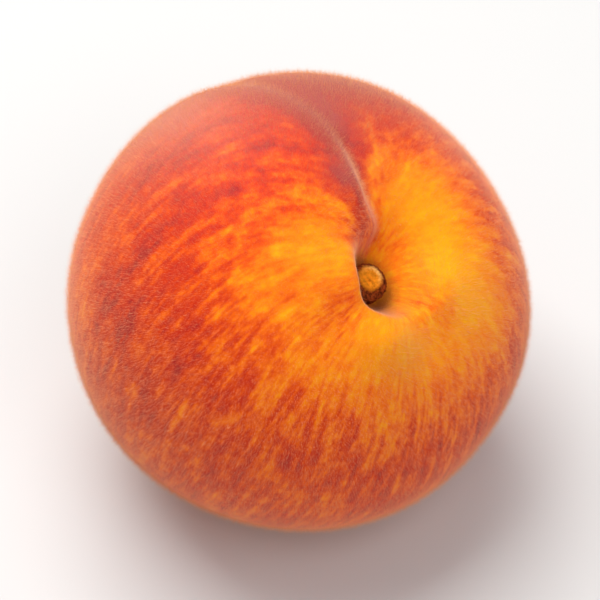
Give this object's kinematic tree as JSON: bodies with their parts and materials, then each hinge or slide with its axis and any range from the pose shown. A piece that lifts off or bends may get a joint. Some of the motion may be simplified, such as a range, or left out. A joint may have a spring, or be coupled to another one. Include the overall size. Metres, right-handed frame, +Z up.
{
  "type": "peach",
  "caption": "Ripe whole peach lying on its side, with a suture down one side and a short woody stalk stub in its stem cavity.",
  "frame": {"origin": "middle of the small flat spot that the fruit rests on", "axes": "+Z up from the resting surface; the stem cavity looks up and towards +X and -Y, leaning 42 degrees from +Z, and the suture runs from it over the top to the back"},
  "size_m": [0.0685, 0.0677, 0.0662],
  "materials": {
    "peach_skin": "matte",
    "stalk_wood": "matte"
  },
  "bodies": {
    "root": {"fruit": "peach_skin", "stem_stub": "stalk_wood"}
  },
  "joints": []
}
